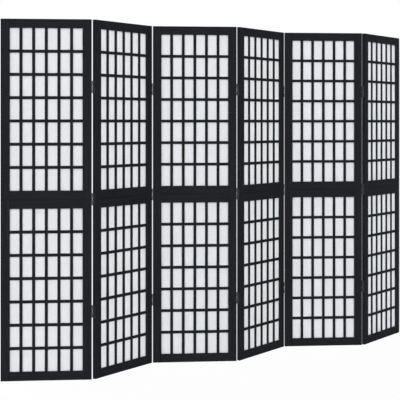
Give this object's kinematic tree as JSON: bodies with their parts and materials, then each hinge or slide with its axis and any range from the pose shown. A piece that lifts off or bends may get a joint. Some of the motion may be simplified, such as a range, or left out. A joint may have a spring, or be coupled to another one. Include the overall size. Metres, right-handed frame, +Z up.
{
  "type": "folding room divider",
  "caption": "Free-standing folding room divider: black wooden framed panels with a slat lattice over white fabric, joined by steel butt hinges so that it folds flat.",
  "frame": {"origin": "middle of the half-folded screen's plan, at floor level", "axes": "+X along the screen, +Y from the front to the back, +Z up"},
  "size_m": [2.5306, 0.2004, 1.8],
  "materials": {
    "black_wood": "black satin stain",
    "white_fabric": "plain white woven cloth",
    "hinge_steel": "satin zinc-plated steel"
  },
  "bodies": {
    "panel_1": {"panel_1_left_stile": "black_wood", "panel_1_right_stile": "black_wood", "panel_1_bottom_rail": "black_wood", "panel_1_middle_rail": "black_wood", "panel_1_top_rail": "black_wood", "panel_1_lattice": "black_wood", "panel_1_fabric": "white_fabric", "hinge_1_left_leaves": "hinge_steel", "hinge_1_pins": "hinge_steel"},
    "panel_2": {"panel_2_left_stile": "black_wood", "panel_2_right_stile": "black_wood", "panel_2_bottom_rail": "black_wood", "panel_2_middle_rail": "black_wood", "panel_2_top_rail": "black_wood", "panel_2_lattice": "black_wood", "panel_2_fabric": "white_fabric", "hinge_1_right_leaves": "hinge_steel", "hinge_2_left_leaves": "hinge_steel", "hinge_2_pins": "hinge_steel"},
    "panel_3": {"panel_3_left_stile": "black_wood", "panel_3_right_stile": "black_wood", "panel_3_bottom_rail": "black_wood", "panel_3_middle_rail": "black_wood", "panel_3_top_rail": "black_wood", "panel_3_lattice": "black_wood", "panel_3_fabric": "white_fabric", "hinge_2_right_leaves": "hinge_steel", "hinge_3_left_leaves": "hinge_steel", "hinge_3_pins": "hinge_steel"},
    "panel_4": {"panel_4_left_stile": "black_wood", "panel_4_right_stile": "black_wood", "panel_4_bottom_rail": "black_wood", "panel_4_middle_rail": "black_wood", "panel_4_top_rail": "black_wood", "panel_4_lattice": "black_wood", "panel_4_fabric": "white_fabric", "hinge_3_right_leaves": "hinge_steel", "hinge_4_left_leaves": "hinge_steel", "hinge_4_pins": "hinge_steel"},
    "panel_5": {"panel_5_left_stile": "black_wood", "panel_5_right_stile": "black_wood", "panel_5_bottom_rail": "black_wood", "panel_5_middle_rail": "black_wood", "panel_5_top_rail": "black_wood", "panel_5_lattice": "black_wood", "panel_5_fabric": "white_fabric", "hinge_4_right_leaves": "hinge_steel", "hinge_5_left_leaves": "hinge_steel", "hinge_5_pins": "hinge_steel"},
    "panel_6": {"panel_6_left_stile": "black_wood", "panel_6_right_stile": "black_wood", "panel_6_bottom_rail": "black_wood", "panel_6_middle_rail": "black_wood", "panel_6_top_rail": "black_wood", "panel_6_lattice": "black_wood", "panel_6_fabric": "white_fabric", "hinge_5_right_leaves": "hinge_steel"}
  },
  "joints": [
    {"name": "fold_1_2", "type": "hinge", "parent": "panel_2", "child": "panel_1", "pos_m": [-0.84548, -0.08359, 0.9], "axis": [0, 0, -1], "range_deg": [-48.5, 131.5]},
    {"name": "fold_2_3", "type": "hinge", "parent": "panel_3", "child": "panel_2", "pos_m": [-0.42274, 0.08359, 0.9], "axis": [0, 0, 1], "range_deg": [-48.5, 131.5]},
    {"name": "fold_3_4", "type": "hinge", "parent": "panel_3", "child": "panel_4", "pos_m": [0, -0.08359, 0.9], "axis": [0, 0, 1], "range_deg": [-48.5, 131.5]},
    {"name": "fold_4_5", "type": "hinge", "parent": "panel_4", "child": "panel_5", "pos_m": [0.42274, 0.08359, 0.9], "axis": [0, 0, -1], "range_deg": [-48.5, 131.5]},
    {"name": "fold_5_6", "type": "hinge", "parent": "panel_5", "child": "panel_6", "pos_m": [0.84548, -0.08359, 0.9], "axis": [0, 0, 1], "range_deg": [-48.5, 131.5]}
  ]
}
